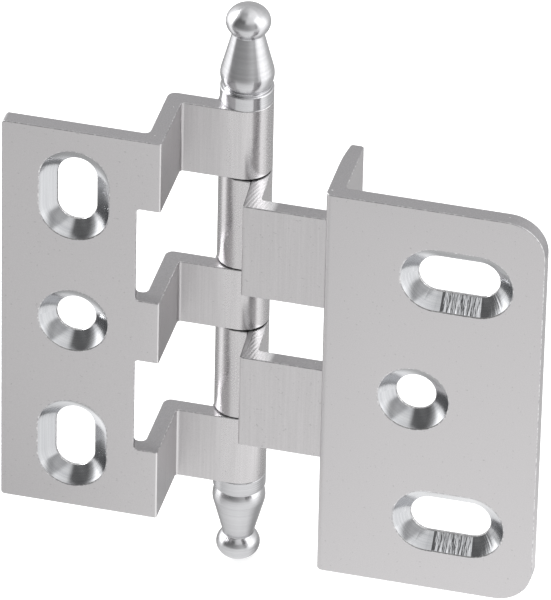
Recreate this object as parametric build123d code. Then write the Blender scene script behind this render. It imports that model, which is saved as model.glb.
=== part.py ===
from build123d import *
import os
from math import cos, hypot, radians, sin, tan

# A five-knuckle butt hinge with ball finials. Millimetres.
# X runs from the frame leaf to the door leaf, Y from the screw heads into the leaves, Z up the pin.
# Everything is drawn about the pin axis, at the leaves' mid height, and moved at the end so that
# the origin is the frame leaf's middle hole, on the face that lies against the frame.

# Stock and barrel
LEAF_HEIGHT = 70.0
STOCK = 2.6
PIN_RADIUS = 1.55
PIN_CLEARANCE = 0.05
KNUCKLE_GAP = 0.2
SEAM_GAP = 0.15
END_KNUCKLE = 12.5
MIDDLE_KNUCKLE = 11.2

# Frame leaf: plate, crank and arms
FRAME_PLATE_REACH = 34.4
FRAME_PLATE_FRONT = 16.3
CRANK_REACH = 9.25
NOTCH_REACH = 13.05
NOTCH_TAPER = 0.6
CRANK_BACK_BEND = 0.9
HEEL_RADIUS = 1.3

# Door leaf: plate, flange and arms
DOOR_PLATE_START = 17.9
DOOR_PLATE_WIDTH = 34.1
DOOR_PLATE_FRONT = 22.65
DOOR_ARM_FRONT = 10.9
DOOR_WEB_LEAN = 3.5
DOOR_CORNER_RADIUS = 6.0
FLANGE_EDGE_RADIUS = 1.0
FLANGE_TIP_THINNING = 0.55
FLANGE_TIP_RUN = 6.0
TIP_RADIUS = 0.5
RELIEF_WIDTH = 1.0

# Bends and cut corners
INNER_BEND = 0.5
SHARP_BEND = 0.3
NOTCH_RADIUS = 0.6
CORNER_RADIUS = 0.6

# Screw holes: round in the middle, slots above and below
HOLE_RADIUS = 3.1
SINK_RADIUS = 5.6
HOLE_LAND = 0.4
FRAME_HOLE_REACH = 22.95
FRAME_SLOT_TRAVEL = 4.9
FRAME_SLOT_SPACING = 46.4
DOOR_HOLE_INSET = 14.5
DOOR_SLOT_INSET = 20.6
DOOR_SLOT_TRAVEL = 6.4
DOOR_SLOT_SPACING = 44.8

# Finials
COLLAR_HEIGHT = 2.4
COLLAR_EDGE = 0.45
GROOVE_HEIGHT = 0.4
GROOVE_DEPTH = 0.5
LIP_RISE = 0.3
LIP_FALL = 0.15
BULGE_HEIGHT = 2.1
SHOULDER_FALL = 0.21
CONE_HEIGHT = 6.65
NECK_RADIUS = 2.42
BALL_RADIUS = 3.48
BALL_HALF_HEIGHT = 2.75
BALL_SIDE_RADIUS = 1.7
BALL_SINK = 0.7
SPIGOT_LENGTH = 6.0
SPIGOT_CLEARANCE = 0.01
SPIGOT_CHAMFER = 0.4
PIN_END_GAP = 0.5
PIN_CHAMFER = 0.3

# Worked out from the sizes above
HALF = LEAF_HEIGHT / 2
BORE = PIN_RADIUS + PIN_CLEARANCE
BARREL = BORE + STOCK
END_JOINT = HALF - END_KNUCKLE
MIDDLE_JOINT = MIDDLE_KNUCKLE / 2
DOOR_PLATE_END = DOOR_PLATE_START + DOOR_PLATE_WIDTH
DOOR_ARM_BACK = DOOR_ARM_FRONT - STOCK
PIN_AXIS = (FRAME_HOLE_REACH, FRAME_PLATE_FRONT - STOCK)
THROUGH = 4 * STOCK


def curl(start, sweep):
    """The outer and inner arcs of a rolled knuckle, from one angle through a sweep."""
    return [CenterArc((0, 0), BARREL, start, sweep), CenterArc((0, 0), BORE, start, sweep)]


def frame_section():
    """Plan of a frame arm: plate, crank and arm, then a curl over the far side of the pin."""
    crank_back = -CRANK_REACH - STOCK
    sheet = FilletPolyline(
        (0, -BARREL),
        (-CRANK_REACH, -BARREL),
        (-CRANK_REACH, -FRAME_PLATE_FRONT),
        (-FRAME_PLATE_REACH, -FRAME_PLATE_FRONT),
        (-FRAME_PLATE_REACH, STOCK - FRAME_PLATE_FRONT),
        (crank_back, STOCK - FRAME_PLATE_FRONT),
        (crank_back, -BORE),
        (0, -BORE),
        radius=[INNER_BEND, SHARP_BEND, 0, 0, CRANK_BACK_BEND, HEEL_RADIUS],
    )
    lip = -BORE + SEAM_GAP
    curl_end = Polyline((-BORE, 0), (-BORE, lip), (-BARREL, lip), (-BARREL, 0))
    return make_face([sheet, curl_end] + curl(-90, 270))


def door_section():
    """Plan of a door arm: flange, arm and web, then a curl that ends against the web."""
    lean = radians(DOOR_WEB_LEAN)
    web_left = (BORE * cos(lean), BORE * sin(lean))
    web_right = (BARREL * cos(lean), BARREL * sin(lean))
    arm_end = web_left[0] + (web_left[1] + DOOR_ARM_FRONT) * tan(lean)
    arm_inner = web_right[0] + (web_right[1] + DOOR_ARM_BACK) * tan(lean)
    flange_inner = DOOR_PLATE_START + STOCK
    sheet = FilletPolyline(
        web_left,
        (arm_end, -DOOR_ARM_FRONT),
        (DOOR_PLATE_START, -DOOR_ARM_FRONT),
        (DOOR_PLATE_START, -DOOR_PLATE_FRONT),
        (DOOR_PLATE_END, -DOOR_PLATE_FRONT),
        (DOOR_PLATE_END, STOCK - DOOR_PLATE_FRONT),
        (flange_inner, STOCK - DOOR_PLATE_FRONT),
        (flange_inner, -DOOR_ARM_BACK),
        (arm_inner, -DOOR_ARM_BACK),
        web_right,
        radius=[SHARP_BEND, INNER_BEND, FLANGE_EDGE_RADIUS, 0, 0, INNER_BEND, TIP_RADIUS, INNER_BEND],
    )
    lip = BORE - SEAM_GAP
    curl_end = Polyline((0, -BORE), (lip, -BORE), (lip, -BARREL), (0, -BARREL))
    return make_face([sheet, curl_end] + curl(DOOR_WEB_LEAN, 270 - DOOR_WEB_LEAN))


def flange_section():
    """Plan of the door leaf between its arms: plate and flange, thinner at the flange's tip."""
    flange_inner = DOOR_PLATE_START + STOCK
    tip_left = DOOR_PLATE_START + FLANGE_TIP_THINNING
    roll_start = (DOOR_PLATE_START, -DOOR_ARM_BACK - FLANGE_TIP_RUN)
    roll_mid = (DOOR_PLATE_START + FLANGE_TIP_THINNING / 4, -DOOR_ARM_BACK - FLANGE_TIP_RUN / 2)
    sheet = FilletPolyline(
        roll_start,
        (DOOR_PLATE_START, -DOOR_PLATE_FRONT),
        (DOOR_PLATE_END, -DOOR_PLATE_FRONT),
        (DOOR_PLATE_END, STOCK - DOOR_PLATE_FRONT),
        (flange_inner, STOCK - DOOR_PLATE_FRONT),
        (flange_inner, -DOOR_ARM_BACK),
        (tip_left, -DOOR_ARM_BACK),
        radius=[FLANGE_EDGE_RADIUS, 0, 0, INNER_BEND, TIP_RADIUS],
    )
    roll = ThreePointArc(roll_start, roll_mid, (tip_left, -DOOR_ARM_BACK))
    return make_face([sheet, roll])


def band(section, low, high):
    """A section extruded from one height to another."""
    return Pos(0, 0, low) * extrude(section, high - low)


def opening(radius, travel, upright):
    """Outline of a round hole, or of a slot of that travel."""
    if travel == 0:
        return Circle(radius)
    return SlotCenterToCenter(travel, 2 * radius, rotation=90 if upright else 0)


def countersunk(x, z, front, travel=0, upright=False):
    """Cutter for a countersunk hole or slot, from the leaf's front face to past its back."""
    face = Plane((x, -front, z), x_dir=(1, 0, 0), z_dir=(0, 1, 0))
    wide = opening(SINK_RADIUS, travel, upright)
    narrow = opening(HOLE_RADIUS, travel, upright)
    sink = loft([face * wide, face.offset(STOCK - HOLE_LAND) * narrow])
    return sink + extrude(face * narrow, THROUGH)


def build_frame_leaf():
    """Frame leaf with arms and knuckles at the top, middle and bottom."""
    leaf = band(frame_section(), -HALF, HALF)
    notch_width = NOTCH_REACH + 4 * BARREL
    notch = RectangleRounded(notch_width, END_JOINT - MIDDLE_JOINT, NOTCH_RADIUS)
    for side in (-1, 1):
        middle = (notch_width / 2 - NOTCH_REACH, -FRAME_PLATE_FRONT, side * (MIDDLE_JOINT + END_JOINT) / 2)
        face = Plane(middle, x_dir=(1, 0, 0), z_dir=(0, 1, 0))
        leaf -= extrude(face * notch, 2 * FRAME_PLATE_FRONT, dir=(-NOTCH_TAPER, STOCK, 0))
        slot_z = side * FRAME_SLOT_SPACING / 2
        leaf -= countersunk(-FRAME_HOLE_REACH, slot_z, FRAME_PLATE_FRONT, FRAME_SLOT_TRAVEL, upright=True)
    leaf -= countersunk(-FRAME_HOLE_REACH, 0, FRAME_PLATE_FRONT)
    corners = leaf.edges().filter_by(Axis.Y).group_by(Axis.X)[0]
    return fillet(corners, CORNER_RADIUS)


def build_door_leaf():
    """Door leaf: a plate and flange of full height, and two arms cut free of the flange by reliefs."""
    leaf = band(flange_section(), -HALF, HALF)
    corners = leaf.edges().filter_by(Axis.Y).group_by(Axis.X)[-1]
    leaf = fillet(corners, DOOR_CORNER_RADIUS)
    relief_length = 2 * (STOCK + INNER_BEND)
    relief = extrude(Plane.YZ * SlotOverall(relief_length, RELIEF_WIDTH), THROUGH / 2, both=True)
    for side in (-1, 1):
        low = MIDDLE_JOINT + KNUCKLE_GAP
        high = END_JOINT - KNUCKLE_GAP
        arm = band(door_section(), low, high)
        if side < 0:
            arm = mirror(arm, about=Plane.XY)
        leaf += arm
        for edge in (low - RELIEF_WIDTH / 2, high + RELIEF_WIDTH / 2):
            leaf -= Pos(DOOR_PLATE_START, -DOOR_ARM_BACK, side * edge) * relief
        slot_x = DOOR_PLATE_START + DOOR_SLOT_INSET
        leaf -= countersunk(slot_x, side * DOOR_SLOT_SPACING / 2, DOOR_PLATE_FRONT, DOOR_SLOT_TRAVEL)
    leaf -= countersunk(DOOR_PLATE_START + DOOR_HOLE_INSET, 0, DOOR_PLATE_FRONT)
    return leaf


def build_pin():
    """The straight pin, short of the finials' spigots."""
    length = LEAF_HEIGHT - 2 * (SPIGOT_LENGTH + PIN_END_GAP)
    pin = Cylinder(PIN_RADIUS, length)
    return chamfer(pin.edges(), PIN_CHAMFER)


def oval_ball():
    """The ball, a little flatter than a sphere: a tight arc at its side and wide arcs above and below."""
    side_reach = BALL_RADIUS - BALL_SIDE_RADIUS
    rise = BALL_HALF_HEIGHT - BALL_SIDE_RADIUS
    drop = (side_reach ** 2 - rise ** 2) / (2 * rise)
    spread = BALL_SIDE_RADIUS / hypot(side_reach, drop)
    join = (side_reach * (1 + spread), drop * spread)
    crown = TangentArc((0, BALL_HALF_HEIGHT), join, tangent=(1, 0))
    foot = mirror(crown, about=Plane.XZ)
    side = ThreePointArc(join, (BALL_RADIUS, 0), (join[0], -join[1]))
    middle = Line((0, BALL_HALF_HEIGHT), (0, -BALL_HALF_HEIGHT))
    return revolve(Plane.XZ * make_face([crown, side, foot, middle]), Axis.Z)


def build_finial():
    """A turned finial standing on the plane z = 0, with its spigot below."""
    spigot = BORE - SPIGOT_CLEARANCE
    groove = BARREL - GROOVE_DEPTH
    groove_top = COLLAR_HEIGHT + GROOVE_HEIGHT
    lip = (BARREL - LIP_FALL, groove_top + LIP_RISE)
    shoulder = (BARREL - SHOULDER_FALL, lip[1] + BULGE_HEIGHT)
    neck = shoulder[1] + CONE_HEIGHT
    outline = Polyline(
        shoulder,
        (NECK_RADIUS, neck),
        (0, neck),
        (0, -SPIGOT_LENGTH),
        (spigot - SPIGOT_CHAMFER, -SPIGOT_LENGTH),
        (spigot, SPIGOT_CHAMFER - SPIGOT_LENGTH),
        (spigot, 0),
        (BARREL, 0),
        (BARREL, COLLAR_HEIGHT - COLLAR_EDGE),
        (groove, COLLAR_HEIGHT),
        (groove, groove_top),
        lip,
    )
    bulge = TangentArc(shoulder, lip, tangent=(shoulder[0] - NECK_RADIUS, -CONE_HEIGHT))
    body = revolve(Plane.XZ * make_face([outline, bulge]), Axis.Z)
    return body + Pos(0, 0, neck - BALL_SINK + BALL_HALF_HEIGHT) * oval_ball()


def save(name, shape):
    """Write one node, moved from the pin axis to the row's origin."""
    shape.label = name
    export_step(Pos(*PIN_AXIS, 0) * shape, f"parts/{name}.step")


os.makedirs("parts", exist_ok=True)
finial = Pos(0, 0, HALF) * build_finial()
save("frame_leaf", build_frame_leaf())
save("door_leaf", build_door_leaf())
save("hinge_pin", build_pin())
save("top_finial", finial)
save("bottom_finial", Rot(180, 0, 0) * finial)
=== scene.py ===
# %% [markdown]
# # A decorative butt hinge in dull chrome
# The real hinge hangs a cabinet door. Two leaves were blanked from 2.6 mm steel sheet, bent, and rolled
# round a pin. Their screw holes were countersunk, and a turned ball finial closes each end of the barrel.
# All of it was then plated with dull chrome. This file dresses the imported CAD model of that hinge.

import bmesh
import bpy
import numpy as np
from mathutils import Matrix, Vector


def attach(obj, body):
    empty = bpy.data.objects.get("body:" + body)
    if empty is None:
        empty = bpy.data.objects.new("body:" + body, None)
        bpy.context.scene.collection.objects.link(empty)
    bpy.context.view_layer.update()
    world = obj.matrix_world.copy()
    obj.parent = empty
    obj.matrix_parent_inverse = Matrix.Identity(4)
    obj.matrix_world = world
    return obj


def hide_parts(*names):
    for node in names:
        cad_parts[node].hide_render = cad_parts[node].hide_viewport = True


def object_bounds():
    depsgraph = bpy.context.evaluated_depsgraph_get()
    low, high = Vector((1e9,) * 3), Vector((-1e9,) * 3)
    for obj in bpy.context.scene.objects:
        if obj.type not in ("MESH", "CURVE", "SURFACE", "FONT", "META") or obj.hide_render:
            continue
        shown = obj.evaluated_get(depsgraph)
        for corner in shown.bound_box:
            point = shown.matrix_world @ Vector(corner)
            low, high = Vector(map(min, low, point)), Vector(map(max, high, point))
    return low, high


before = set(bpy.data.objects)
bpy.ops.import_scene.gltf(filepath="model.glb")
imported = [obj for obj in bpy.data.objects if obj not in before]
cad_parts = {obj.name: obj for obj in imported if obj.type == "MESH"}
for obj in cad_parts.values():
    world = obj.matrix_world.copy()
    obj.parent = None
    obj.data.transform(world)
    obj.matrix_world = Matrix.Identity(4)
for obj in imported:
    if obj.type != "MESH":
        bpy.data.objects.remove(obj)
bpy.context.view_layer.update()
print("CAD nodes:", sorted(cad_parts))

# %% [markdown]
# Sizes are written in millimetres and every point is worked out round the pin, because both leaves are
# bent from there. X runs from the frame leaf to the door leaf, Y goes into the door, and Z up the pin.
# One number turns millimetres to Blender's metres, and one point moves the pin to its place. HALF is half
# the leaves' height, and the knuckles meet at the two joint heights, above and below the middle. The CAD
# model's round surfaces are flat triangles, which cut a little inside the circle, so the barrel is drawn
# ROUND_SLACK smaller to stay inside that model's box.

# %% Units and the sheet's own sizes
MM = 0.001
PIN = np.array([22.95, 13.7, 0.0])
STOCK = 2.6
BORE = 1.6
ROUND_SLACK = 0.003
BARREL = BORE + STOCK - ROUND_SLACK
HALF = 35.0
END_JOINT = 22.5
MIDDLE_JOINT = 5.6
KNUCKLE_GAP = 0.2
SEAM_GAP = 0.04
print("barrel diameter, mm:", 2 * BARREL)

# %% [markdown]
# A bent sheet is a flat outline, seen along the pin, carried up the pin. The outline is made of straight
# runs, circle arcs, and corners that a bending die leaves round. Two small functions give those arcs.

# %% Arcs and rounded outlines
def arc(radius, start, sweep, steps, centre=(0.0, 0.0)):
    """Points on a circle: the centre plus the radius times (cos, sin) of equal steps of angle, in degrees."""
    turn = np.radians(start + sweep * np.linspace(0, 1, steps + 1))
    return np.array(centre) + radius * np.stack([np.cos(turn), np.sin(turn)], axis=-1)


def distinct(points):
    """The points of a closed outline without those that repeat the one before."""
    step = np.linalg.norm(points - np.roll(points, 1, axis=0), axis=1)
    return points[step > 1e-5]


def rounded(corners, radii, steps=6):
    """A closed outline with round corners. With a and b the unit directions from a corner to its neighbours
    and h half the angle between them, the arc of radius r is centred r / sin h along their bisector and
    meets the two sides r / tan h from the corner."""
    corners, radii = np.asarray(corners, float), np.asarray(radii, float)[:, None]
    a = np.roll(corners, 1, axis=0) - corners
    b = np.roll(corners, -1, axis=0) - corners
    a = a / np.linalg.norm(a, axis=1, keepdims=True)
    b = b / np.linalg.norm(b, axis=1, keepdims=True)
    half = 0.5 * np.arccos(np.clip((a * b).sum(axis=1, keepdims=True), -1, 1))
    middle = (a + b) / np.maximum(np.linalg.norm(a + b, axis=1, keepdims=True), 1e-9)
    centre = corners + middle * radii / np.sin(half)
    first = (corners + a * radii / np.tan(half) - centre)[:, None]
    last = (corners + b * radii / np.tan(half) - centre)[:, None]
    span = (np.pi - 2 * half)[:, None]
    t = np.linspace(0, 1, steps + 1)[None, :, None]
    swing = np.sin((1 - t) * span) * first + np.sin(t * span) * last
    path = centre[:, None] + swing / np.maximum(np.sin(span), 1e-6)
    return distinct(path.reshape(-1, 2))


print("points in a square with round corners:", len(rounded([(0, 0), (1, 0), (1, 1), (0, 1)], [0.2] * 4)))

# %% [markdown]
# Every new surface here is a stack of closed rings with the same number of points: an outline repeated at
# two heights is a bent sheet, the same outline grown smaller is a countersink, and circles of changing
# radius are a turned finial. One function skins such a stack with four-sided faces.

# %% A skin over rings
def skin(name, rings, side=0, cap=0):
    """A closed surface over rings, an array of (rings, points, 3) in mm round the pin. Point j of ring i
    joins point j + 1 and ring i + 1 in one four-sided face, and one flat face closes each end. side and cap
    are the numbers of the finishes between the rings and on the two ends."""
    rows, count = rings.shape[:2]
    grid = np.arange(rows * count).reshape(rows, count)
    ahead = np.roll(grid, -1, axis=1)
    quads = np.stack([grid[:-1], ahead[:-1], ahead[1:], grid[1:]], axis=-1).reshape(-1, 4)
    mesh = bpy.data.meshes.new(name)
    points = (rings.reshape(-1, 3) + PIN) * MM
    mesh.from_pydata(points.tolist(), [], quads.tolist() + [grid[0, ::-1].tolist(), grid[-1].tolist()])
    mesh.polygons.foreach_set("material_index", np.r_[np.full(len(quads), side), cap, cap].astype(np.int32))
    shell = bmesh.new()
    shell.from_mesh(mesh)
    if shell.calc_volume(signed=True) < 0:
        bmesh.ops.reverse_faces(shell, faces=shell.faces)
    shell.to_mesh(mesh)
    shell.free()
    piece = bpy.data.objects.new(name, mesh)
    bpy.context.scene.collection.objects.link(piece)
    return piece


def upright(outline, low, high):
    """Two rings: the outline (x, y) at a low and at a high z."""
    return np.stack([np.column_stack([outline, np.full(len(outline), z)]) for z in (low, high)])


print("a round outline at two heights:", upright(arc(BARREL, 0, 350, 35), -HALF, HALF).shape)

# %% [markdown]
# ## Frame leaf
# The frame leaf lies flat on the cabinet, cranks once towards the door, and rolls 270 degrees round the
# pin. In plan it is one closed line: out round the barrel, back round the bore, then along both faces. The
# bending die leaves each bend with a radius of its own, and the plate's sheared end stays square.

# %% Plan of the frame leaf
FRAME_REACH = 34.4
FRAME_FRONT = 16.3
CRANK = 9.25
CRANK_BACK = CRANK + STOCK
LIP = BORE - SEAM_GAP
CURL_STEPS = 60
FRAME_BENDS = (1.3, 0.9, 0, 0, 0.3, 0.5)
curl_out = arc(BARREL, -90, 270, CURL_STEPS)
curl_in = arc(BORE, 180, -270, CURL_STEPS)
sheet = [(-CRANK_BACK, -BORE), (-CRANK_BACK, STOCK - FRAME_FRONT), (-FRAME_REACH, STOCK - FRAME_FRONT),
         (-FRAME_REACH, -FRAME_FRONT), (-CRANK, -FRAME_FRONT), (-CRANK, -BARREL)]
frame_line = np.concatenate([curl_out, [(-BARREL, -LIP), (-BORE, -LIP)], curl_in, sheet])
frame_round = np.zeros(len(frame_line))
frame_round[-len(sheet):] = FRAME_BENDS
frame_plan = rounded(frame_line, frame_round)
print("points in the frame leaf's plan:", len(frame_plan))

# %% [markdown]
# ## Door leaf
# The door leaf wraps the door's edge: a plate, a flange beside it, an arm, and a web that leans 3.5 degrees
# before it rolls round the pin the other way. Its plan is worked out in the same way.

# %% Plan of the door leaf
DOOR_START = 17.9
DOOR_END = 52.0
DOOR_FRONT = 22.65
ARM_FRONT = 10.9
ARM_BACK = ARM_FRONT - STOCK
LEAN_DEGREES = 3.5
LEAN = np.radians(LEAN_DEGREES)
FLANGE_IN = DOOR_START + STOCK
DOOR_BENDS = (0.3, 0.5, 1.0, 0, 0, 0.5, 0.5, 0.5)
web_in = BORE * np.array([np.cos(LEAN), np.sin(LEAN)])
web_out = BARREL * np.array([np.cos(LEAN), np.sin(LEAN)])
arm_end = web_in[0] + (web_in[1] + ARM_FRONT) * np.tan(LEAN)
arm_in = web_out[0] + (web_out[1] + ARM_BACK) * np.tan(LEAN)
sheet = [(arm_end, -ARM_FRONT), (DOOR_START, -ARM_FRONT), (DOOR_START, -DOOR_FRONT), (DOOR_END, -DOOR_FRONT),
         (DOOR_END, STOCK - DOOR_FRONT), (FLANGE_IN, STOCK - DOOR_FRONT), (FLANGE_IN, -ARM_BACK),
         (arm_in, -ARM_BACK)]
lip = [(web_in[0] + (web_in[1] - y) * np.tan(LEAN) - SEAM_GAP, y) for y in (-BARREL, -BORE)]
curl_out = arc(BARREL, LEAN_DEGREES, 270 - LEAN_DEGREES, CURL_STEPS)
curl_in = arc(BORE, 270, LEAN_DEGREES - 270, CURL_STEPS)
door_line = np.concatenate([sheet, curl_out, lip, curl_in])
door_round = np.zeros(len(door_line))
door_round[:len(sheet)] = DOOR_BENDS
door_plan = rounded(door_line, door_round)
print("points in the door leaf's plan:", len(door_plan))

# %% [markdown]
# Blanking and countersinking take metal away, so the same is done here: each tool is a solid of its own,
# and Blender's exact Boolean takes it out of the sheet. Every tool reaches PAST mm beyond the metal and
# brings the number of the finish that it leaves behind: 0 is the rolled face of the sheet, 1 a sheared edge,
# and 2 a turned countersink. A countersink ends in a short land, the straight wall of the screw hole. The
# highlights in the real ones run as on a very slightly hollow wall, so the wall leaves a straight cone by a
# tenth of a millimetre: its radius drops by STEEP for each mm at the front, and faster further in.

# %% Cutting tools
FACE, SHEARED, SUNK = 0, 1, 2
SINK_FRONT = 5.6
SINK_FIRST = 0.35
STEEP = 0.92
HOLE = 3.1
LAND = 0.4
PAST = 1.0


def through(outline, front, back, slide=0.0):
    """Two rings: the outline (x, z) at a front and at a back y, its x moved by slide for each mm of depth
    behind the frame plate's front."""
    return np.stack(
        [np.column_stack([outline[:, 0] - slide * (y + FRAME_FRONT), np.full(len(outline), y), outline[:, 1]])
         for y in (front, back)]
    )


def stadium(radius, travel, level):
    """A circle pulled apart by travel: its right half moves by travel / 2 one way and its left half the
    other. It is turned upright unless it is level."""
    right = arc(radius, -90, 180, 32, (travel / 2, 0))
    left = arc(radius, 90, 180, 32, (-travel / 2, 0))
    outline = distinct(np.concatenate([right, left]))
    return outline if level else np.stack([-outline[:, 1], outline[:, 0]], axis=-1)


def sink(x, z, front, travel=0.0, level=True):
    """Countersink tool: outlines at seven depths. At depth d the radius is SINK_FRONT - STEEP d - flare d^2,
    so that the wall is steepest at the front, and it meets the hole's own radius at the land."""
    deep = STOCK - LAND
    flare = (SINK_FRONT - HOLE - STEEP * deep) / deep ** 2
    d = np.linspace(SINK_FIRST, deep, 5)
    depths = np.r_[-PAST, d, STOCK + PAST]
    radii = np.r_[SINK_FRONT + STEEP * PAST, SINK_FRONT - STEEP * d - flare * d ** 2, HOLE]
    rings = [stadium(radius, travel, level) + (x, z) for radius in radii]
    rings = [np.column_stack([ring[:, 0], np.full(len(ring), depth - front), ring[:, 1]])
             for ring, depth in zip(rings, depths)]
    return skin("tool", np.stack(rings), SUNK, SUNK)


def corner_tool(x, z, radius, front):
    """Takes a square corner at (x, z) down to an arc: the outline runs along the arc and round outside it."""
    out = 1.5
    quarter = arc(radius, 0, 90, 20) - radius
    outside = [(-radius, out), (out, out), (out, -radius)]
    outline = np.concatenate([quarter, outside]) * (np.sign(x), np.sign(z)) + (x, z)
    return skin("tool", through(outline, -front - PAST, PAST + STOCK - front), SHEARED, SHEARED)


def cut(piece, tools):
    """Takes each tool out of the piece with an exact Boolean. The new faces keep the tool's finish."""
    for tool in tools:
        modifier = piece.modifiers.new("cut", "BOOLEAN")
        modifier.solver, modifier.object = "EXACT", tool
        cut_mesh = bpy.data.meshes.new_from_object(piece.evaluated_get(bpy.context.evaluated_depsgraph_get()))
        piece.modifiers.clear()
        piece.data = cut_mesh
        bpy.data.objects.remove(tool)
    print(piece.name, "has", len(piece.data.polygons), "faces after", len(tools), "cuts")


print("a countersink is", 2 * SINK_FRONT, "mm wide at the front and", 2 * HOLE, "mm at the land")

# %% [markdown]
# The frame leaf is blanked into three arms. The punch breaks the last of the metal away, so the notch is
# 0.6 mm wider at the back than at the front. Its two slots are upright and its middle hole is round.

# %% Cut the frame leaf
FRAME_HOLE = -22.95
FRAME_SLOT, FRAME_TRAVEL = 23.2, 4.9
NOTCH_LEFT, NOTCH_RIGHT, NOTCH_BACK = -13.05, 16.0, 6.0
PUNCH_CORNER = 0.6
BREAKAWAY = 0.6
frame_piece = skin("frame_leaf_sheet", upright(frame_plan, -HALF, HALF), FACE, SHEARED)
notch_half = (END_JOINT - MIDDLE_JOINT) / 2
tools = []
for side in (-1, 1):
    middle = side * (END_JOINT + MIDDLE_JOINT) / 2
    low, high = middle - notch_half, middle + notch_half
    notch = [(NOTCH_LEFT, low), (NOTCH_RIGHT, low), (NOTCH_RIGHT, high), (NOTCH_LEFT, high)]
    notch = rounded(notch, [PUNCH_CORNER] * 4)
    notch = through(notch, -FRAME_FRONT - PAST, NOTCH_BACK, BREAKAWAY / STOCK)
    tools.append(skin("tool", notch, SHEARED, SHEARED))
    tools.append(corner_tool(-FRAME_REACH, side * HALF, PUNCH_CORNER, FRAME_FRONT))
    tools.append(sink(FRAME_HOLE, side * FRAME_SLOT, FRAME_FRONT, FRAME_TRAVEL, level=False))
tools.append(sink(FRAME_HOLE, 0, FRAME_FRONT))
cut(frame_piece, tools)

# %% [markdown]
# The door leaf keeps its flange at full height, and the sheet left of the flange goes above, below and
# between the arms. The flange's outer face drifts 0.55 mm inwards over its last 6 mm, as the square of the
# distance. A narrow slot beside each arm lets the arm bend free of the flange. One tool ends 0.003 mm past
# the arm's face, because an exact Boolean is cleaner where two faces don't lie in one plane.

# %% Cut the door leaf
DOOR_HOLE = DOOR_START + 14.5
DOOR_SLOT, DOOR_SLOT_UP, DOOR_TRAVEL = DOOR_START + 20.6, 22.4, 6.4
DOOR_CORNER = 6.0
DRIFT, RUN = 0.55, 6.0
OFF_PLANE = 0.003
GAP_LEFT, GAP_RIGHT, GAP_BACK = -12.0, DOOR_START + 1.6, 9.0
FLANGE_ROUND = 0.45
RELIEF, RELIEF_TRAVEL = 0.5, 5.2
RELIEF_FROM, RELIEF_TO = 12.7, 23.1
door_piece = skin("door_leaf_sheet", upright(door_plan, -HALF, HALF), FACE, SHEARED)
u = np.linspace(0, 1, 13)[:, None]
drift = np.hstack([DOOR_START + DRIFT * u ** 2, -ARM_BACK - RUN + RUN * u])
drift[-1, 1] += OFF_PLANE
around = [(GAP_RIGHT, drift[-1, 1]), (GAP_RIGHT, GAP_BACK), (GAP_LEFT, GAP_BACK), (GAP_LEFT, -ARM_BACK - RUN)]
gap_line = np.concatenate([drift, around])
gap_round = np.zeros(len(gap_line))
gap_round[len(drift) - 1] = FLANGE_ROUND
gap_plan = rounded(gap_line, gap_round)
low, high = MIDDLE_JOINT + KNUCKLE_GAP, END_JOINT - KNUCKLE_GAP
tools = [skin("tool", upright(gap_plan, a, b), SHEARED, SHEARED)
         for a, b in ((-HALF - PAST, -high), (-low, low), (high, HALF + PAST))]
for side in (-1, 1):
    for z in (low - RELIEF, high + RELIEF):
        relief = stadium(RELIEF, RELIEF_TRAVEL, level=True) + (-ARM_BACK, side * z)
        rings = [np.column_stack([np.full(len(relief), x), relief]) for x in (RELIEF_FROM, RELIEF_TO)]
        tools.append(skin("tool", np.stack(rings), SHEARED, SHEARED))
    tools.append(corner_tool(DOOR_END, side * HALF, DOOR_CORNER, DOOR_FRONT))
    tools.append(sink(DOOR_SLOT, side * DOOR_SLOT_UP, DOOR_FRONT, DOOR_TRAVEL))
tools.append(sink(DOOR_HOLE, 0, DOOR_FRONT))
cut(door_piece, tools)

# %% [markdown]
# No real edge is razor sharp: tumbling before the plating breaks every one. A Bevel modifier with a width
# of 0.14 mm, about one pixel here, gives the thin bright line that a broken edge shows. It gets a finish of
# its own, number 3, because the burr left there takes the plating unevenly. The bevelled mesh is kept, so
# that the countersinks can be given their own map afterwards.

# %% Break the edges
BROKEN = 3
EDGE = 0.14
SHARP = np.radians(35)
FLAT = np.radians(0.2)
WELD = 0.002


def break_edges(piece):
    """Welds points that a cut left within WELD mm, joins faces of one finish that are flat to within FLAT,
    and rounds every edge sharper than SHARP with three faces across."""
    welded = bmesh.new()
    welded.from_mesh(piece.data)
    bmesh.ops.remove_doubles(welded, verts=welded.verts, dist=WELD * MM)
    bmesh.ops.dissolve_limit(welded, angle_limit=FLAT, verts=welded.verts, edges=welded.edges,
                             delimit={"MATERIAL"})
    welded.to_mesh(piece.data)
    welded.free()
    piece.data.polygons.foreach_set("use_smooth", np.ones(len(piece.data.polygons), bool))
    bevel = piece.modifiers.new("broken edge", "BEVEL")
    bevel.width, bevel.segments = EDGE * MM, 3
    bevel.limit_method, bevel.angle_limit = "ANGLE", SHARP
    bevel.use_clamp_overlap = False
    bevel.harden_normals = True
    bevel.material = BROKEN
    rounded_mesh = bpy.data.meshes.new_from_object(piece.evaluated_get(bpy.context.evaluated_depsgraph_get()))
    piece.modifiers.clear()
    piece.data = rounded_mesh
    print(piece.name, "has", len(piece.data.polygons), "faces with its edges broken")


for piece in (frame_piece, door_piece):
    for finish in (FACE, SHEARED, SUNK, BROKEN):
        piece.data.materials.append(None)
    break_edges(piece)

# %% [markdown]
# ## Finials
# A finial is turned on a lathe: collar, groove, bulge, long taper and a ball that is a little flat, with a
# spigot below that sits in the knuckle's bore. Its surface is a profile, radius against height, carried
# round the axis. The profile is rounded where the tool was, then read at even steps, and three fine lines
# of the tool are pressed into the collar, the only part there with a radius over 4 mm.

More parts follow.
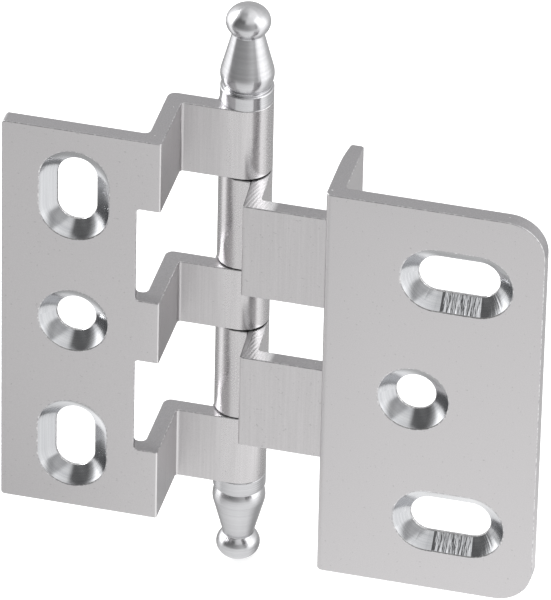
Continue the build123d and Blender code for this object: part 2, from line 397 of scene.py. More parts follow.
# %% Finial profile
COLLAR = BARREL - ROUND_SLACK
SPIGOT = 1.59
NECK = (2.42, 11.92)
BALL_RADIUS, BALL_RISE, BALL_MIDDLE = 3.48, 2.75, 13.9
STEP = 0.08
FINE_LINES = (0.75, 1.15, 1.5)
LINE_DEPTH, LINE_WIDTH = 0.015, 0.07
foot = np.arccos(NECK[0] / BALL_RADIUS)
t = np.linspace(-foot, np.pi / 2 - 0.01, 60)[1:]
ball = np.stack([BALL_RADIUS * np.cos(t), BALL_MIDDLE + BALL_RISE * np.sin(t)], axis=-1)
below = [(0.5, -6), (SPIGOT, -6), (SPIGOT, 0), (COLLAR, 0), (COLLAR, 2.4), (3.7, 2.4), (3.7, 2.8),
         (4.42, 4.2), NECK]
profile = np.concatenate([below, ball])
profile_round = np.zeros(len(profile))
profile_round[:len(below)] = (0, 0.4, 0, 0.04, 0.2, 0.08, 0.02, 3.5, 0.15)
profile = rounded(profile, profile_round, 10)
run = np.concatenate([[0], np.cumsum(np.linalg.norm(np.diff(profile, axis=0), axis=1))])
even = np.linspace(0, run[-1], int(run[-1] / STEP))
radius, height = np.interp(even, run, profile[:, 0]), np.interp(even, run, profile[:, 1])
for line in FINE_LINES:
    radius = radius - LINE_DEPTH * np.exp(-((height - line) / LINE_WIDTH) ** 2) * (radius > 4)
print("finial profile points:", len(radius), "top at", height.max().round(2), "mm")

# %% [markdown]
# The profile is carried round in 96 steps, and a small flat face closes each pole. The lathe tool leaves its
# marks round the axis, so the finish needs a map that runs the same way. At the seam the last column of
# faces takes the share 1 instead of 0, so that the map doesn't run back through the whole turn there.

# %% Turn both finials
TURNS = 96


def face_corners(mesh):
    """The vertex and the face of each face corner of a mesh, and the number of corners of each face."""
    corner = np.zeros(len(mesh.loops), np.int32)
    mesh.loops.foreach_get("vertex_index", corner)
    totals = np.zeros(len(mesh.polygons), np.int32)
    mesh.polygons.foreach_get("loop_total", totals)
    return corner, np.repeat(np.arange(len(totals)), totals), totals


def turn(name, radius, height):
    """A surface of revolution: (radius * cos a, radius * sin a, height) for equal angles a. Its map gives the
    share of a turn and the way along the profile, so that the finish can follow the lathe tool."""
    a = np.linspace(0, 2 * np.pi, TURNS, endpoint=False)
    x, y, z = np.outer(radius, np.cos(a)), np.outer(radius, np.sin(a)), np.outer(height, np.ones(TURNS))
    piece = skin(name, np.stack([x, y, z], axis=-1))
    piece.data.polygons.foreach_set("use_smooth", np.ones(len(piece.data.polygons), bool))
    corner, face, _ = face_corners(piece.data)
    column = corner % TURNS
    column = np.where((column == 0) & (face % TURNS == TURNS - 1), TURNS, column)
    pattern = np.stack([column / TURNS, corner // TURNS * STEP], axis=-1)
    piece.data.uv_layers.new(name="lathe").data.foreach_set("uv", pattern.ravel())
    return piece


top_piece = turn("turned_top_finial", radius, HALF + height)
bottom_piece = turn("turned_bottom_finial", radius, -HALF - height)
print("triangles in a finial:", 2 * len(top_piece.data.polygons))

# %% [markdown]
# ## A map for the countersinks
# A countersink tool turns, so its marks run round the hole and its chatter runs down the cone. A pattern
# can follow that only on a map of its own: u is the distance round the hole and v the depth below the
# sheet's front, both in millimetres. Round a slot, u also counts the straight runs. The chatter is drawn
# for u between -15 and -2, and only the door leaf's two slots have it. The other holes are SMOOTH: their u
# is shifted by 50 mm, past that stretch.

# %% Map the countersinks
MIDDLE_RADIUS = (SINK_FRONT + HOLE) / 2
CHATTERED, SMOOTH = 0, 50


def map_sinks(piece, holes, front):
    """holes are (x, z, travel, level, shift). For a point p of a countersink, s is the nearest point to it
    on the line that the slot's centre travels, and a the angle of p - s. Then u is a times the middle radius,
    plus the straight run passed on that side, plus the hole's shift. A face's corners take their angle near
    the angle of the face's middle, so that no face spans the jump from one half turn to the other."""
    mesh = piece.data
    corner, face, totals = face_corners(mesh)
    place = np.zeros(len(mesh.vertices) * 3)
    mesh.vertices.foreach_get("co", place)
    place = (place.reshape(-1, 3) / MM - PIN)[corner]
    centres = np.stack([np.bincount(face, place[:, k]) / totals for k in range(3)], axis=-1)
    chosen = np.argmin([np.hypot(centres[:, 0] - x, centres[:, 2] - z) for x, z, *_ in holes], axis=0)
    x, z, travel, level, shift = (np.array(column, float) for column in zip(*holes))

    def along(points, hole):
        across = points[:, [0, 2]] - np.stack([x[hole], z[hole]], axis=-1)
        turned = np.stack([across[:, 1], -across[:, 0]], axis=-1)
        across = np.where(level[hole, None] > 0, across, turned)
        s = np.clip(across[:, 0], -travel[hole] / 2, travel[hole] / 2)
        return s, np.arctan2(across[:, 1], across[:, 0] - s)

    _, face_angle = along(centres, chosen)
    s, angle = along(place, chosen[face])
    angle = face_angle[face] + (angle - face_angle[face] + np.pi) % (2 * np.pi) - np.pi
    straight = (travel[chosen[face]] / 2 - s) * np.sign(face_angle[face])
    pattern = np.stack([angle * MIDDLE_RADIUS + straight + shift[chosen[face]], place[:, 1] + front], axis=-1)
    mesh.uv_layers.new(name="sink").data.foreach_set("uv", pattern.ravel())
    print(piece.name, "sink map runs", np.ptp(pattern[:, 0]).round(1), "mm round")


map_sinks(frame_piece, [(FRAME_HOLE, FRAME_SLOT, FRAME_TRAVEL, 0, SMOOTH), (FRAME_HOLE, 0, 0, 1, SMOOTH),
                        (FRAME_HOLE, -FRAME_SLOT, FRAME_TRAVEL, 0, SMOOTH)], FRAME_FRONT)
map_sinks(door_piece, [(DOOR_SLOT, DOOR_SLOT_UP, DOOR_TRAVEL, 1, CHATTERED), (DOOR_HOLE, 0, 0, 1, SMOOTH),
                       (DOOR_SLOT, -DOOR_SLOT_UP, DOOR_TRAVEL, 1, CHATTERED)], DOOR_FRONT)

# %% [markdown]
# ## Finishes
# Every finish here is one metal, chromium, plated over steel that was rolled, sheared, turned or polished.
# Its colour is that of chromium, about C4C5C6, and what tells one finish from the next is how rough it is
# and which way its scratches run. One function turns a hex colour to linear light, and one adds a node.

# %% Colour and node helpers
def linear(code, alpha=1.0):
    """An sRGB hex colour as linear light: c / 12.92 below 0.04045, and ((c + 0.055) / 1.055) ** 2.4 above."""
    c = np.array([int(code[i:i + 2], 16) for i in (0, 2, 4)]) / 255
    return (*np.where(c <= 0.04045, c / 12.92, ((c + 0.055) / 1.055) ** 2.4), alpha)


def node(tree, kind, inputs=None, stops=None, **settings):
    """Adds a node with its settings. inputs gives each input a value, or another node's output to link.
    stops are a colour ramp's (place, colour) pairs."""
    new = tree.nodes.new(kind)
    for key, value in settings.items():
        setattr(new, key, value)
    for key, value in (inputs or {}).items():
        if isinstance(value, bpy.types.NodeSocket):
            tree.links.new(value, new.inputs[key])
        else:
            new.inputs[key].default_value = value
    for i, (place, colour) in enumerate(stops or []):
        stop = new.color_ramp.elements[i] if i < 2 else new.color_ramp.elements.new(place)
        stop.position, stop.color = place, colour
    return new


def grey(value):
    """A linear grey colour of that value."""
    return (value, value, value, 1.0)


print("C4C5C6 as linear light:", np.round(linear("C4C5C6")[:3], 3))

# %% [markdown]
# Scales are worked out from real sizes. A noise of scale 1 has features about one unit across, so on Object
# coordinates, which are in metres, a mark of w mm needs a scale of 1000 / w. Stretching it is a Mapping node
# that squeezes the other directions. Nearly all of a noise lies between 0.3 and 0.7. A Map Range node turns
# such a range (inputs 1 and 2) into another (inputs 3 and 4), and holds its ends beyond them.

# %% Metal with marks
NOISE = {1: 0.3, 2: 0.7}


def marks(tree, source, sizes, detail=2.0, unit=MM):
    """Noise whose marks are about that many mm along the three directions of the source coordinates. Those
    are in metres, or in mm where unit is 1."""
    scale = tuple(1 / (unit * size) for size in sizes)
    placed = node(tree, "ShaderNodeMapping", {"Vector": source, "Scale": scale}).outputs[0]
    return node(tree, "ShaderNodeTexNoise", {"Vector": placed, "Scale": 1.0, "Detail": detail}).outputs[0]


def from_line(tree, place, x, y):
    """How far a point is from the upright line that stands x and y mm from the pin, in m."""
    moved = node(tree, "ShaderNodeMapping", {"Vector": place, "Scale": (1.0, 1.0, 0.0),
                                             "Location": (-(PIN[0] + x) * MM, -(PIN[1] + y) * MM, 0.0)})
    return node(tree, "ShaderNodeVectorMath", {0: moved.outputs[0]}, operation="LENGTH").outputs["Value"]


def chrome(name):
    """A new metal material, its tree and its shader. A metal keeps the default IOR."""
    material = bpy.data.materials.new(name)
    material.use_nodes = True
    tree = material.node_tree
    shader = tree.nodes["Principled BSDF"]
    shader.inputs["Metallic"].default_value = 1.0
    return material, tree, shader


print("a mark of 0.5 mm needs a noise scale of", 1 / (MM * 0.5))

# %% [markdown]
# The faces of the sheet are satin chrome: they were blasted before the plating, so they scatter what they
# reflect into an even, slightly warm grey with a fine grain. Pits of about 0.5 mm darken it here and there.
# The arms also keep the faint upright lines of the bending die, which the plates, held flat, don't have.
# The rolling die burnished the barrel, so its face is smoother than the rest. It also rubbed both corners of
# the frame leaf's crank, which are smoother there, and each shows a fine bright line that is a painted
# highlight, a lighter base colour, the outer one stronger than the inner one.

# %% Satin chrome on rolled sheet
DIE_FROM, DIE_TO = -13.0, -10.5
BURNISHED_BY = 0.15
RUBBED_BY = 0.1
satin, tree, shader = chrome("satin chrome, rolled sheet")
place = node(tree, "ShaderNodeTexCoord").outputs["Object"]
grain = marks(tree, place, (0.16, 0.16, 0.16), 3.0)
pits = marks(tree, place, (0.5, 0.5, 0.5))
die = marks(tree, place, (0.3, 0.3, 12.0))
into = node(tree, "ShaderNodeSeparateXYZ", {0: place}).outputs[1]
arm = node(tree, "ShaderNodeMapRange", {0: into, 1: (PIN[1] + DIE_FROM) * MM, 2: (PIN[1] + DIE_TO) * MM,
                                        3: 0.0, 4: 1.0}).outputs[0]
die = node(tree, "ShaderNodeMapRange", {0: die, **NOISE, 3: -0.03, 4: 0.03}).outputs[0]
die = node(tree, "ShaderNodeMath", {0: die, 1: arm}, operation="MULTIPLY").outputs[0]
tone = node(tree, "ShaderNodeMapRange", {0: grain, **NOISE, 3: 0.46, 4: 0.54}).outputs[0]
tone = node(tree, "ShaderNodeMath", {0: tone, 1: die}, operation="ADD").outputs[0]
pits = node(tree, "ShaderNodeMapRange", {0: pits, 1: 0.67, 2: 0.74, 3: 0.0, 4: -0.14}).outputs[0]
tone = node(tree, "ShaderNodeMath", {0: tone, 1: pits}, operation="ADD").outputs[0]
colour = node(tree, "ShaderNodeValToRGB", {0: tone}, [(0.2, linear("9C9A9B")), (0.8, linear("E4E2E3"))])
rough = node(tree, "ShaderNodeMapRange", {0: grain, **NOISE, 3: 0.36, 4: 0.44}).outputs[0]
burnished = node(tree, "ShaderNodeMapRange", {0: from_line(tree, place, 0.0, 0.0), 1: (BARREL + 0.1) * MM,
                                              2: (BARREL + 1.2) * MM, 3: BURNISHED_BY, 4: 0.0}).outputs[0]
rough = node(tree, "ShaderNodeMath", {0: rough, 1: burnished}, operation="SUBTRACT").outputs[0]
# The two bright lines on the crank's corners are painted highlights in the base colour; their lower roughness
# is the real rubbing of the die.
outer = node(tree, "ShaderNodeMapRange", {0: from_line(tree, place, -CRANK, -FRAME_FRONT), 1: 0.1 * MM,
                                          2: 0.3 * MM, 3: 1.0, 4: 0.0}).outputs[0]
inner_rub_and_highlight = node(tree, "ShaderNodeMapRange", {0: from_line(tree, place, -CRANK, -BARREL), 1: 0.2 * MM,
                                          2: 0.35 * MM, 3: 0.6, 4: 0.0}).outputs[0]
crank_rub_and_highlight = node(tree, "ShaderNodeMath", {0: outer, 1: inner_rub_and_highlight}, operation="MAXIMUM").outputs[0]
colour = node(tree, "ShaderNodeMix", {0: crank_rub_and_highlight, 6: colour.outputs[0], 7: linear("E2E1E1")}, data_type="RGBA")
rough = node(tree, "ShaderNodeMath", {0: crank_rub_and_highlight, 1: -RUBBED_BY, 2: rough}, operation="MULTIPLY_ADD").outputs[0]
relief = node(tree, "ShaderNodeBump", {"Strength": 0.2, "Distance": 0.01 * MM, "Height": grain})
tree.links.new(colour.outputs[2], shader.inputs["Base Color"])
tree.links.new(rough, shader.inputs["Roughness"])
tree.links.new(relief.outputs[0], shader.inputs["Normal"])
print("made", satin.name)

# %% [markdown]
# A sheared edge is duller and a little darker than the face, with a few bright chips. The door leaf's arms
# were milled on top where they meet the barrel, up to 7 mm from the pin. A cutter leaves arcs there, which
# tilt the surface to and fro and so catch the lamps. Their crests are drawn 0.6 mm apart, coarser than real
# ones, so that they show. A Wave Texture of scale 1 has a crest every 0.314 units. The patch's colour is also
# a painted highlight, lighter than the edge, and towards the pin it is painted darker again, a painted shade.

# %% Sheared edge, with and without a milled patch
PAINTED_SHINE_FROM, PAINTED_SHINE_FULL, MILLED_TO = 1.7, 3.0, 7.0
ARC_SPACING = 0.6
ARC_CENTRE = (26.0, -14.0)
WAVE_OF_ONE = 0.314


def sheared_edge(name, milled):
    """A dull sheared finish. Where milled is true, it turns into arcs up to MILLED_TO from the pin, in a
    colour that is a painted highlight, painted darker again towards the pin.
    """
    material, tree, shader = chrome(name)
    place = node(tree, "ShaderNodeTexCoord").outputs["Object"]
    grain = marks(tree, place, (0.22, 0.22, 0.22), 3.0)
    chips = marks(tree, place, (0.7, 0.7, 0.7), 1.0)
    tone = node(tree, "ShaderNodeMapRange", {0: grain, **NOISE, 3: 0.2, 4: 0.4}).outputs[0]
    chips = node(tree, "ShaderNodeMapRange", {0: chips, 1: 0.76, 2: 0.8, 3: 0.0, 4: 0.6}).outputs[0]
    tone = node(tree, "ShaderNodeMath", {0: tone, 1: chips}, operation="ADD").outputs[0]
    stops = [(0.2, linear("A3A2A4")), (0.4, linear("B3B1B3")), (0.9, linear("F0F0F0"))]
    colour = node(tree, "ShaderNodeValToRGB", {0: tone}, stops).outputs[0]
    relief = node(tree, "ShaderNodeBump", {"Strength": 0.25, "Distance": 0.01 * MM,
                                           "Height": grain}).outputs[0]
    shader.inputs["Roughness"].default_value = 0.45
    if milled:
        across = node(tree, "ShaderNodeSeparateXYZ", {0: place}).outputs[0]
        end = (PIN[0] + MILLED_TO) * MM
        patch = {0: across, 1: end - 0.3 * MM, 2: end + 0.5 * MM, 3: 1.0, 4: 0.0}
        patch = node(tree, "ShaderNodeMapRange", patch).outputs[0]
        # The patch's lighter colour is a painted highlight. Towards the pin it is weaker, darker and rougher,
        # a painted shade that is deepest up to 1.7 mm from the pin.
        begun = {0: across, 1: (PIN[0] + PAINTED_SHINE_FROM) * MM, 2: (PIN[0] + PAINTED_SHINE_FULL) * MM, 3: 0.3, 4: 1.0}
        begun = node(tree, "ShaderNodeMapRange", begun).outputs[0]
        shine = node(tree, "ShaderNodeMath", {0: patch, 1: begun}, operation="MULTIPLY").outputs[0]
        x, y = PIN[:2] + ARC_CENTRE
        centred = node(tree, "ShaderNodeMapping", {"Vector": place, "Location": (-x * MM, -y * MM, 0.0)})
        arcs = {"Vector": centred.outputs[0], "Scale": WAVE_OF_ONE / (ARC_SPACING * MM), "Distortion": 1.5,
                "Detail": 2.0, "Detail Scale": 2.0}
        arcs = node(tree, "ShaderNodeTexWave", arcs, wave_type="RINGS", rings_direction="Z").outputs["Fac"]
        relief = node(tree, "ShaderNodeBump", {"Strength": patch, "Distance": 0.008 * MM, "Height": arcs,
                                               "Normal": relief}).outputs[0]
        colour = node(tree, "ShaderNodeMix", {0: shine, 6: colour, 7: linear("F2F2F3")},
                      data_type="RGBA").outputs[2]
        rough = node(tree, "ShaderNodeMapRange", {0: shine, 1: 0.0, 2: 1.0, 3: 0.45, 4: 0.25}).outputs[0]
        tree.links.new(rough, shader.inputs["Roughness"])
    tree.links.new(colour, shader.inputs["Base Color"])
    tree.links.new(relief, shader.inputs["Normal"])
    print("made", name)
    return material


sheared = sheared_edge("satin chrome, sheared edge", milled=False)
sheared_milled = sheared_edge("satin chrome, sheared edge with a milled patch", milled=True)

# %% [markdown]
# A countersink was turned after the blanking, so its plating is bright chrome that mirrors the studio, with
# fine rings about 0.28 mm wide. In the door leaf's slots the tool also chattered on one side: it left marks
# 0.5 mm wide down the wall, strong at first, weaker past u = -6.3 and gone at -2. It leant there too, so the
# wall's height falls steadily from u = -15 to -6.6, by 5 degrees. Both are drawn on the sink map.

# %% Turned countersink
sunk, tree, shader = chrome("bright chrome, turned countersink")
around = node(tree, "ShaderNodeUVMap", uv_map="sink").outputs[0]
chatter = marks(tree, around, (0.5, 2.4, 1.0), unit=1)
rings = marks(tree, around, (30.0, 0.28, 1.0), unit=1)
u = node(tree, "ShaderNodeSeparateXYZ", {0: around}).outputs[0]
begun = node(tree, "ShaderNodeMapRange", {0: u, 1: -12.5, 2: -12.1, 3: 0.0, 4: 1.0}).outputs[0]
weaker = node(tree, "ShaderNodeMapRange", {0: u, 1: -6.8, 2: -6.3, 3: 1.0, 4: 0.25}).outputs[0]
gone = node(tree, "ShaderNodeMapRange", {0: u, 1: -3.0, 2: -2.0, 3: 1.0, 4: 0.0}).outputs[0]
lean = node(tree, "ShaderNodeMapRange", {0: u, 1: -15.0, 2: -6.6, 3: 0.0, 4: -3.0}).outputs[0]
over = node(tree, "ShaderNodeMath", {0: weaker, 1: gone}, operation="MULTIPLY").outputs[0]
where = node(tree, "ShaderNodeMath", {0: begun, 1: over}, operation="MULTIPLY").outputs[0]
wall = node(tree, "ShaderNodeMath", {0: chatter, 1: where}, operation="MULTIPLY").outputs[0]
wall = node(tree, "ShaderNodeMath", {0: wall, 1: lean}, operation="ADD").outputs[0]
colour = node(tree, "ShaderNodeValToRGB", {0: rings}, [(0.3, linear("BBBCBF")), (0.7, linear("CACBCD"))])
fine = node(tree, "ShaderNodeBump", {"Strength": 0.3, "Distance": 0.014 * MM, "Height": rings}).outputs[0]
relief = node(tree, "ShaderNodeBump", {"Strength": 1.0, "Distance": 0.25 * MM, "Height": wall,
                                       "Normal": fine}).outputs[0]
shader.inputs["Roughness"].default_value = 0.15
tree.links.new(colour.outputs[0], shader.inputs["Base Color"])
tree.links.new(relief, shader.inputs["Normal"])
print("made", sunk.name)

# %% [markdown]
# A broken edge is smoother than the face beside it, because the tumbling stones rubbed it most, and it
# reflects as a thin line. What is left of the burr takes the plating unevenly, in spots of about 0.5 mm, so
# the line is brighter in some places than in others.

# %% Broken edge
broken, tree, shader = chrome("satin chrome, broken edge")
place = node(tree, "ShaderNodeTexCoord").outputs["Object"]
ragged = marks(tree, place, (0.5, 0.5, 0.5))
stops = [(0.3, linear("A9A8AA")), (0.5, linear("BEBDBE")), (0.75, linear("E4E4E4"))]
colour = node(tree, "ShaderNodeValToRGB", {0: ragged}, stops)
shader.inputs["Roughness"].default_value = 0.3
tree.links.new(colour.outputs[0], shader.inputs["Base Color"])
print("made", broken.name)

# %% [markdown]
# The finials were turned and then polished, so they are bright chrome. The lathe's fine rings, about 0.3 mm
# wide, spread every highlight across them, up and down the finial: that is the shader's anisotropy, and a
# Tangent node lays it along the lathe map. The pin inside the knuckles is drawn steel, with fine dull lines
# along it. Its CAD shape is right, so only its finish is new.

# %% Polished chrome on the turned finials, and the plain steel of the pin
polished, tree, shader = chrome("polished chrome, turned")
place = node(tree, "ShaderNodeTexCoord").outputs["Object"]
rings = marks(tree, place, (60.0, 60.0, 0.3))
colour = node(tree, "ShaderNodeValToRGB", {0: rings}, [(0.3, linear("C0C0C2")), (0.7, linear("C8C8CA"))])
relief = node(tree, "ShaderNodeBump", {"Strength": 0.04, "Distance": 0.01 * MM, "Height": rings})
tangent = node(tree, "ShaderNodeTangent", direction_type="UV_MAP", uv_map="lathe")
shader.inputs["Roughness"].default_value = 0.2
shader.inputs["Anisotropic"].default_value = 0.9
shader.inputs["Anisotropic Rotation"].default_value = 0.25
tree.links.new(colour.outputs[0], shader.inputs["Base Color"])
tree.links.new(relief.outputs[0], shader.inputs["Normal"])
tree.links.new(tangent.outputs[0], shader.inputs["Tangent"])
pin_steel, tree, shader = chrome("drawn steel pin")
place = node(tree, "ShaderNodeTexCoord").outputs["Object"]
drawn = marks(tree, place, (0.2, 0.2, 12.0))
colour = node(tree, "ShaderNodeValToRGB", {0: drawn}, [(0.3, linear("8F9092")), (0.7, linear("B2B3B4"))])
shader.inputs["Roughness"].default_value = 0.35
tree.links.new(colour.outputs[0], shader.inputs["Base Color"])
print("made", polished.name, "and", pin_steel.name)

# %% [markdown]
# Each piece now gets its finishes, in the order of the numbers that the tools left on its faces. The frame
# leaf and both finials are on one body and the door leaf on the other, so the hinge can swing. Each new
# piece stands for a CAD node, which it hides.

# %% Give each piece its finishes and its body
for piece, edge in ((frame_piece, sheared), (door_piece, sheared_milled)):
    for finish, material in ((FACE, satin), (SHEARED, edge), (SUNK, sunk), (BROKEN, broken)):
        piece.data.materials[finish] = material
for piece in (top_piece, bottom_piece):
    piece.data.materials.append(polished)
for piece, body, stood_for, finish in (
    (frame_piece, "frame", "frame_leaf", "leaf_steel"),
    (door_piece, "door", "door_leaf", "leaf_steel"),
    (top_piece, "frame", "top_finial", "finial_chrome"),
    (bottom_piece, "frame", "bottom_finial", "finial_chrome"),
):
    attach(piece, body)
    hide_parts(stood_for)
    print(piece.name, "rides on", body)
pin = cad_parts["hinge_pin"]
pin.data.materials.clear()
pin.data.materials.append(pin_steel)

# %% [markdown]
# ## Studio
# A hinge is photographed in a white tent: a pale table below, a tall soft lamp at each side, a lamp above,
# and a dark gap in front, where the picture is taken from. Metal shows only what it reflects, so the gap
# matters as much as the lamps. The world gives the tent as four strips of brightness round the hinge, below,
# level, upper and above, read from the direction that a reflected ray takes. The camera sees plain white
# behind the hinge, and the light that isn't a reflection is even.

# %% World
BRIGHTEST = 2.4
EVEN = 0.8
BELOW = [(-180, 0.55), (-145, 0.6), (-112, 1.6), (-82, 1.6), (-66, 0.5), (-40, 0.5), (10, 0.55), (30, 0.75),
         (50, 1.0), (66, 1.4), (90, 1.7), (112, 1.5), (135, 0.85), (180, 0.6)]
LEVEL = [(-180, 0.65), (-150, 0.7), (-128, 1.4), (-112, 2.2), (-76, 2.2), (-68, 0.5), (-58, 0.15), (-45, 0.2),
         (-20, 0.28), (5, 0.38), (30, 0.6), (44, 0.65), (50, 0.5), (56, 0.5), (62, 1.3), (72, 2.0), (90, 2.3),
         (110, 1.9), (130, 1.1), (150, 0.85), (180, 0.65)]
UPPER = [(-180, 0.8), (-150, 0.7), (-128, 0.8), (-108, 1.2), (-84, 1.3), (-70, 0.5), (-57, 0.15), (-12, 0.15),
         (-4, 0.6), (4, 1.0), (34, 1.15), (50, 1.35), (70, 1.5), (90, 1.6), (112, 1.4), (132, 1.1),
         (160, 0.9), (180, 0.8)]
ABOVE = [(-180, 1.1), (-135, 0.8), (-110, 0.5), (-60, 0.5), (-30, 0.8), (-10, 0.9), (10, 1.1), (40, 1.3),
         (150, 1.35), (180, 1.1)]
RISES = ((-0.2, 0.0), (0.5, 0.62), (0.78, 0.88))


def turn_stops(pairs):
    """A colour ramp's stops against the share of a turn, from (degrees, brightness) pairs: (degrees + 180) /
    360 and brightness / BRIGHTEST. 0 degrees is the front and 90 the door leaf's side."""
    return [((degrees + 180) / 360, grey(value / BRIGHTEST)) for degrees, value in pairs]


def share_of_turn(tree, x, y):
    """The angle atan2(x, -y) as a share of a whole turn, 0.5 at the front."""
    front = node(tree, "ShaderNodeMath", {0: y, 1: -1.0}, operation="MULTIPLY").outputs[0]
    azimuth = node(tree, "ShaderNodeMath", {0: x, 1: front}, operation="ARCTAN2").outputs[0]
    return node(tree, "ShaderNodeMapRange", {0: azimuth, 1: -np.pi, 2: np.pi, 3: 0.0, 4: 1.0}).outputs[0]


world = bpy.data.worlds.new("light tent")
bpy.context.scene.world = world
world.use_nodes = True
tree = world.node_tree
tree.nodes.clear()
way = node(tree, "ShaderNodeSeparateXYZ", {0: node(tree, "ShaderNodeTexCoord").outputs["Generated"]}).outputs
share = share_of_turn(tree, way[0], way[1])
tent = node(tree, "ShaderNodeValToRGB", {0: share}, turn_stops(BELOW)).outputs[0]
for pairs, (low, high) in zip((LEVEL, UPPER, ABOVE), RISES):
    over = node(tree, "ShaderNodeValToRGB", {0: share}, turn_stops(pairs)).outputs[0]
    risen = node(tree, "ShaderNodeMapRange", {0: way[2], 1: low, 2: high}, interpolation_type="SMOOTHSTEP")
    tent = node(tree, "ShaderNodeMix", {0: risen.outputs[0], 6: tent, 7: over}, data_type="RGBA").outputs[2]
tent = node(tree, "ShaderNodeBackground", {0: tent, 1: BRIGHTEST}).outputs[0]
plain = node(tree, "ShaderNodeBackground", {0: grey(1.0), 1: EVEN}).outputs[0]
white = node(tree, "ShaderNodeBackground", {0: grey(1.0), 1: 1.0}).outputs[0]
ray = node(tree, "ShaderNodeLightPath").outputs
lit = node(tree, "ShaderNodeMixShader", {0: ray["Is Glossy Ray"], 1: plain, 2: tent}).outputs[0]
seen = node(tree, "ShaderNodeMath", {0: ray["Is Camera Ray"], 1: ray["Is Transmission Ray"]},
            operation="MAXIMUM").outputs[0]
shown = node(tree, "ShaderNodeMixShader", {0: seen, 1: lit, 2: white}).outputs[0]
node(tree, "ShaderNodeOutputWorld", {0: shown})
print("the tent's brightest part gives", max(value for _, value in BELOW + LEVEL + UPPER + ABOVE))

# %% [markdown]
# The table is a round sheet of matt white paper just under the bottom finial. What the metal sees of it
# matters, and to mirrored rays the paper glows with painted light. Close to the hinge it is bright in front
# and darker beside and behind, a painted shadow of the hinge. From NEAR_TO to FAR_FROM mm out that gives way
# to a ring of painted light and shade that is brightest at both sides, beside the lamps, and darkest behind.
# To the camera the paper glows a little, so that it is as white as the tent and still shows the shadow.

# %% Table
TABLE_DROP = 0.0003
TABLE_RADIUS = 0.25
NEAR_TO, FAR_FROM = 10, 45
GLOW = 0.5
NEAR = [(-180, 0.7), (-135, 0.45), (-105, 0.5), (-90, 0.7), (-70, 0.9), (-28, 1.08), (0, 1.14), (15, 1.18),
        (60, 1.1), (85, 0.75), (100, 0.5), (125, 0.45), (155, 0.6), (180, 0.7)]
FAR = [(-180, 0.55), (-130, 0.45), (-112, 0.5), (-102, 0.65), (-95, 1.3), (-90, 1.4), (-76, 1.4), (-70, 1.15),
       (-62, 0.75), (-45, 0.82), (-28, 0.98), (0, 1.1), (15, 1.16), (50, 1.25), (85, 1.4), (100, 1.1),
       (115, 0.75), (145, 0.6), (180, 0.55)]
table_mesh = bpy.data.meshes.new("table")
circle = arc(TABLE_RADIUS, 0, 360, 96)[:-1] + PIN[:2] * MM
table_points = np.column_stack([circle, np.full(len(circle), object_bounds()[0].z - TABLE_DROP)])
table_mesh.from_pydata(table_points.tolist(), [], [list(range(len(circle)))])
table = bpy.data.objects.new("table", table_mesh)
bpy.context.scene.collection.objects.link(table)
paper = bpy.data.materials.new("matt white paper")
paper.use_nodes = True
tree = paper.node_tree
tree.nodes.clear()
spot = node(tree, "ShaderNodeTexCoord").outputs["Object"]
centred = node(tree, "ShaderNodeMapping", {"Vector": spot, "Location": (-PIN[0] * MM, -PIN[1] * MM, 0.0),
                                           "Scale": (1.0, 1.0, 0.0)}).outputs[0]
away = node(tree, "ShaderNodeSeparateXYZ", {0: centred}).outputs
share = share_of_turn(tree, away[0], away[1])
reach = node(tree, "ShaderNodeVectorMath", {0: centred}, operation="LENGTH").outputs["Value"]
out = node(tree, "ShaderNodeMapRange", {0: reach, 1: NEAR_TO * MM, 2: FAR_FROM * MM},
           interpolation_type="SMOOTHSTEP").outputs[0]
# For mirrored rays the paper glows with painted light: a painted shadow of the hinge close to it, and painted
# pools of lamp light at both sides further out.
near = node(tree, "ShaderNodeValToRGB", {0: share}, turn_stops(NEAR)).outputs[0]
far = node(tree, "ShaderNodeValToRGB", {0: share}, turn_stops(FAR)).outputs[0]
painted_mirror_light = node(tree, "ShaderNodeMix", {0: out, 6: near, 7: far}, data_type="RGBA").outputs[2]
shine = node(tree, "ShaderNodeEmission", {0: painted_mirror_light, 1: BRIGHTEST}).outputs[0]
matt = node(tree, "ShaderNodeBsdfDiffuse", {0: linear("F4F4F4")}).outputs[0]
ray = node(tree, "ShaderNodeLightPath").outputs
seen = node(tree, "ShaderNodeMath", {0: ray["Is Camera Ray"], 1: ray["Is Transmission Ray"]},
            operation="MAXIMUM").outputs[0]
lift = node(tree, "ShaderNodeMath", {0: seen, 1: GLOW}, operation="MULTIPLY").outputs[0]
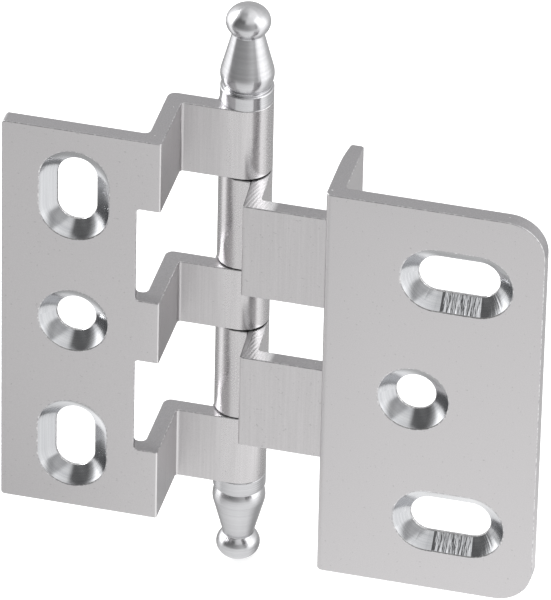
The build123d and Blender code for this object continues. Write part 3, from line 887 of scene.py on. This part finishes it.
glow = node(tree, "ShaderNodeEmission", {0: grey(1.0), 1: lift}).outputs[0]
viewed = node(tree, "ShaderNodeAddShader", {0: matt, 1: glow}).outputs[0]
shown = node(tree, "ShaderNodeMixShader", {0: ray["Is Glossy Ray"], 1: viewed, 2: shine}).outputs[0]
node(tree, "ShaderNodeOutputMaterial", {0: shown})
table_mesh.materials.append(paper)
print("table radius, m:", TABLE_RADIUS)

# %% [markdown]
# Two square soft lamps stand about a metre away, one at each side of the hinge and above it. The left one is
# the smaller and by far the stronger, as the highlights on the left walls and edges show, and the right one
# only fills.

# %% Lamps
def lamp(name, place, size, watts):
    """A square soft lamp that looks at the hinge from that place."""
    light = bpy.data.lights.new(name, "AREA")
    light.shape, light.size, light.energy = "SQUARE", size, watts
    holder = bpy.data.objects.new(name, light)
    bpy.context.scene.collection.objects.link(holder)
    holder.location = place
    holder.rotation_euler = holder.location.to_track_quat("Z", "Y").to_euler()
    print(name, "gives", watts, "W")


lamp("left soft lamp", (-0.95, 0.17, 0.7), 0.4, 10.0)
lamp("right soft lamp", (1.0, -0.2, 0.9), 0.8, 1.5)

# %% [markdown]
# ## Camera
# The camera stands 1.4 m away behind a long lens, 34.7 degrees above the hinge and 13.4 degrees to its
# right, and is rolled 1.3 degrees. These came from matching the hinge's straight edges with the picture's.

# %% Camera
right = np.array([0.96983304, 0.24308346, 0.01828427])
up = np.array([-0.15289042, 0.54813728, 0.82229559])
behind = np.cross(right, up)
place = np.array([0.2944955, -1.11389292, 0.80031724])
stand = np.column_stack([right, up, behind, place])
camera = bpy.data.objects.new("camera", bpy.data.cameras.new("camera"))
bpy.context.scene.collection.objects.link(camera)
camera.matrix_world = Matrix([*stand.tolist(), [0, 0, 0, 1]])
camera.data.sensor_fit, camera.data.sensor_height = "VERTICAL", 36.0
camera.data.lens = 545.53
camera.data.shift_x, camera.data.shift_y = 0.01208, -0.00808
camera.data.clip_start = 0.05
bpy.context.scene.camera = camera
bpy.context.scene.view_settings.view_transform = "Standard"
print("camera at", place.round(3), "m")
